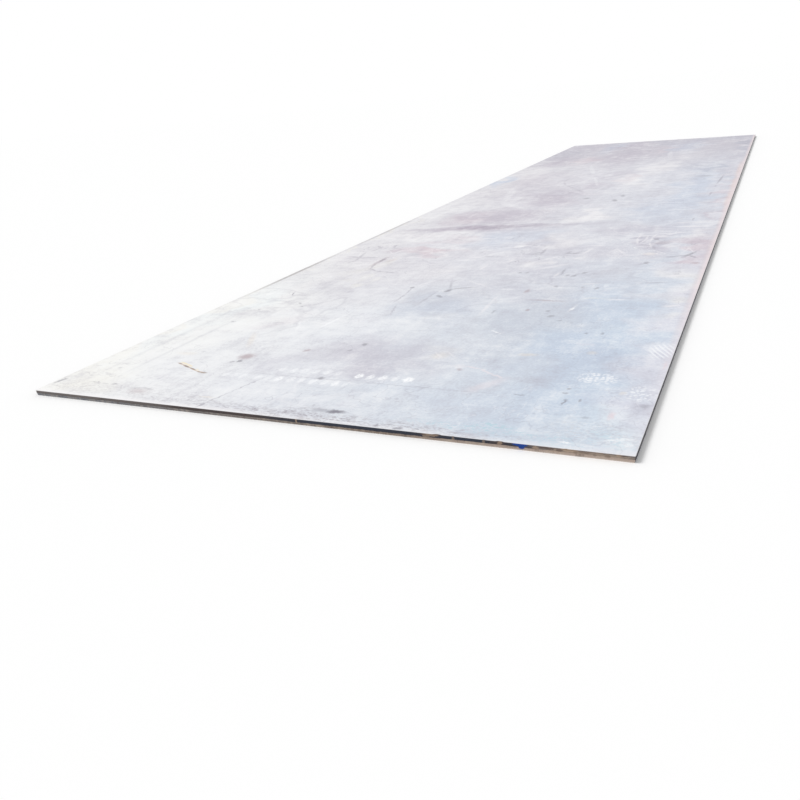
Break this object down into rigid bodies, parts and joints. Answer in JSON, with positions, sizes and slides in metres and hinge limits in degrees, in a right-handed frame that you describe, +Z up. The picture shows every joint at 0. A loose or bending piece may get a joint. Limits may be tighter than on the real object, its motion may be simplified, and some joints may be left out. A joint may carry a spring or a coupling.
{
  "type": "steel plate",
  "caption": "Flat rectangular hot-rolled steel plate with sheared edges, lying on its underside; raw stock for cutting, bending and welding.",
  "frame": {"origin": "centre of the underside of the plate", "axes": "+X across the plate's width, +Y along its length and rolling direction away from the near end, +Z up out of the top face"},
  "size_m": [2, 8, 0.018],
  "materials": {
    "mill_scale_steel": "hot-rolled mill scale, dusty and weathered pale grey, with rust on the sheared edges"
  },
  "bodies": {
    "root": {"steel_plate": "mill_scale_steel"}
  },
  "joints": []
}
